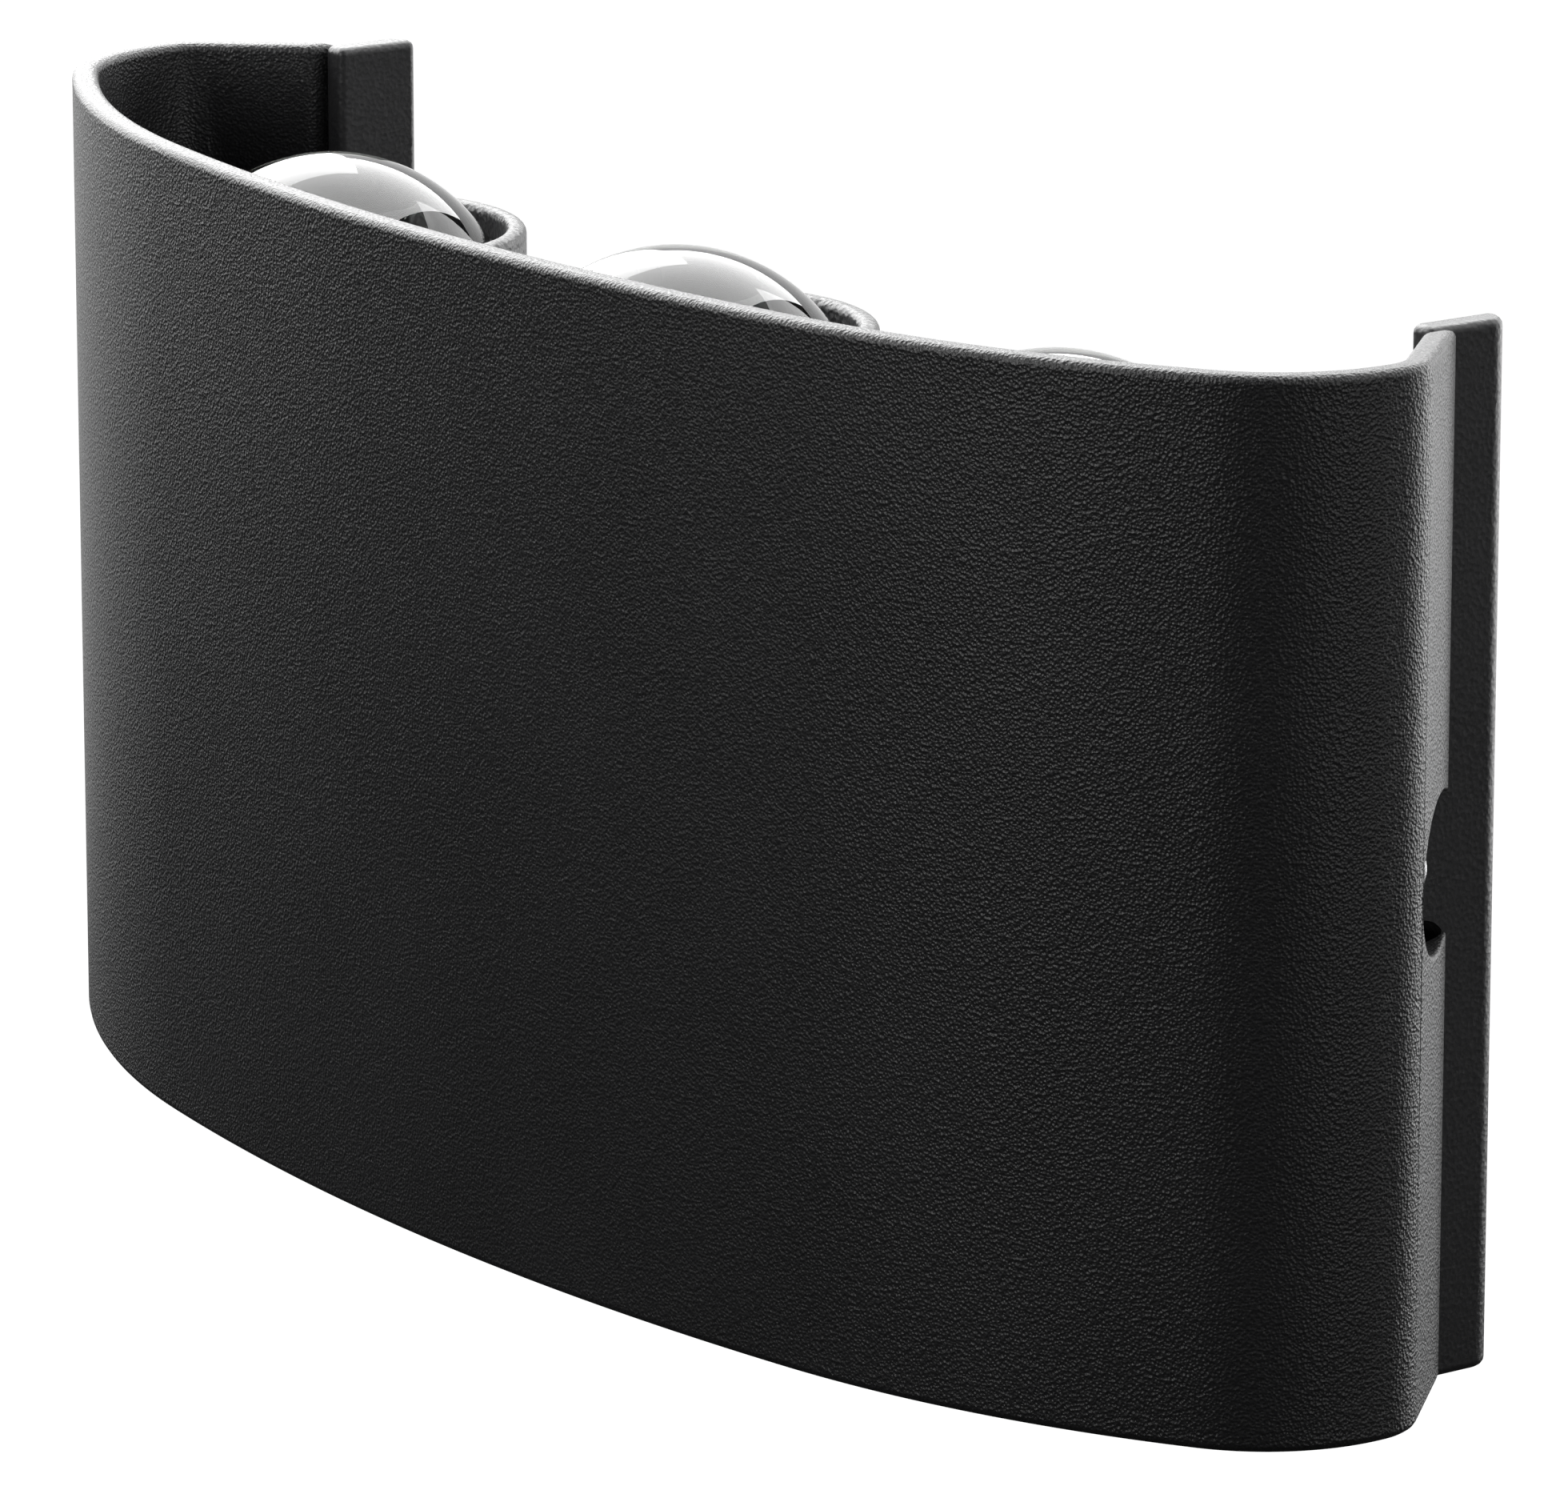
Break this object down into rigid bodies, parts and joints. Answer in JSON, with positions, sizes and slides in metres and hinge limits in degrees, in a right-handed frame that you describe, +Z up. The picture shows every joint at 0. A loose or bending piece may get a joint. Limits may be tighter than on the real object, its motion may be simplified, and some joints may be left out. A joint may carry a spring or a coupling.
{
  "type": "up and down wall light",
  "caption": "Outdoor wall light: a curved black shade, open above and below, around upward and downward lens barrels on a wall bracket with side wings.",
  "frame": {"origin": "middle of the two wall-screw slots, on the bracket's rear face that meets the wall", "axes": "+X along the width, +Y into the wall, +Z up; the light stands off the wall towards -Y"},
  "size_m": [0.165, 0.0471, 0.08],
  "materials": {
    "shade_finish": "fine textured black powder coat",
    "cast_finish": "fine textured black powder coat on a casting",
    "bracket_finish": "smooth black powder coat",
    "gasket_rubber": "matt",
    "seal_silicone": "translucent grey silicone",
    "screw_steel": "zinc plated",
    "earth_brass": "plain",
    "lens_glass": "polished clear",
    "reflector_white": "glossy white",
    "board_aluminium": "white solder mask",
    "led_phosphor": "yellow phosphor under clear silicone",
    "lead_insulation": "silicone insulation",
    "driver_board_green": "solder mask",
    "component_dark": "moulded",
    "capacitor_sleeve": "shrink sleeve",
    "terminal_plastic": "moulded nylon"
  },
  "bodies": {
    "bracket": {"wall_bracket": "bracket_finish", "earth_screw": "earth_brass"},
    "lamp": {"shade": "shade_finish", "housing": "cast_finish", "rear_cover": "cast_finish", "ring_up_left": "cast_finish", "ring_up_middle": "cast_finish", "ring_up_right": "cast_finish", "ring_down_left": "cast_finish", "ring_down_middle": "cast_finish", "ring_down_right": "cast_finish", "cover_gasket": "gasket_rubber", "cable_grommet": "gasket_rubber", "seal_up_left": "seal_silicone", "seal_up_middle": "seal_silicone", "seal_up_right": "seal_silicone", "seal_down_left": "seal_silicone", "seal_down_middle": "seal_silicone", "seal_down_right": "seal_silicone", "cover_screws": "screw_steel", "shade_screws": "screw_steel", "driver_screws": "screw_steel", "terminal_screws": "screw_steel", "lens_up_left": "lens_glass", "lens_up_middle": "lens_glass", "lens_up_right": "lens_glass", "lens_down_left": "lens_glass", "lens_down_middle": "lens_glass", "lens_down_right": "lens_glass", "reflector_up_left": "reflector_white", "reflector_up_middle": "reflector_white", "reflector_up_right": "reflector_white", "reflector_down_left": "reflector_white", "reflector_down_middle": "reflector_white", "reflector_down_right": "reflector_white", "led_board_up_left": "board_aluminium", "led_board_up_middle": "board_aluminium", "led_board_up_right": "board_aluminium", "led_board_down_left": "board_aluminium", "led_board_down_middle": "board_aluminium", "led_board_down_right": "board_aluminium", "led_up_left": "led_phosphor", "led_up_middle": "led_phosphor", "led_up_right": "led_phosphor", "led_down_left": "led_phosphor", "led_down_middle": "led_phosphor", "led_down_right": "led_phosphor", "led_leads": "lead_insulation", "driver_board": "driver_board_green", "driver_transformer": "component_dark", "driver_chip": "component_dark", "driver_capacitor": "capacitor_sleeve", "terminal_block": "terminal_plastic"},
    "left_screw": {"side_screw_left": "screw_steel"},
    "right_screw": {"side_screw_right": "screw_steel"}
  },
  "joints": [
    {"name": "lamp_off", "type": "slide", "parent": "bracket", "child": "lamp", "axis": [0, -1, 0], "range_m": [0, 0.06]},
    {"name": "left_screw_turn", "type": "hinge", "parent": "lamp", "child": "left_screw", "pos_m": [-0.066, -0.0107, 0], "axis": [-1, 0, 0], "continuous": true},
    {"name": "right_screw_turn", "type": "hinge", "parent": "lamp", "child": "right_screw", "pos_m": [0.066, -0.0107, 0], "axis": [1, 0, 0], "continuous": true}
  ]
}
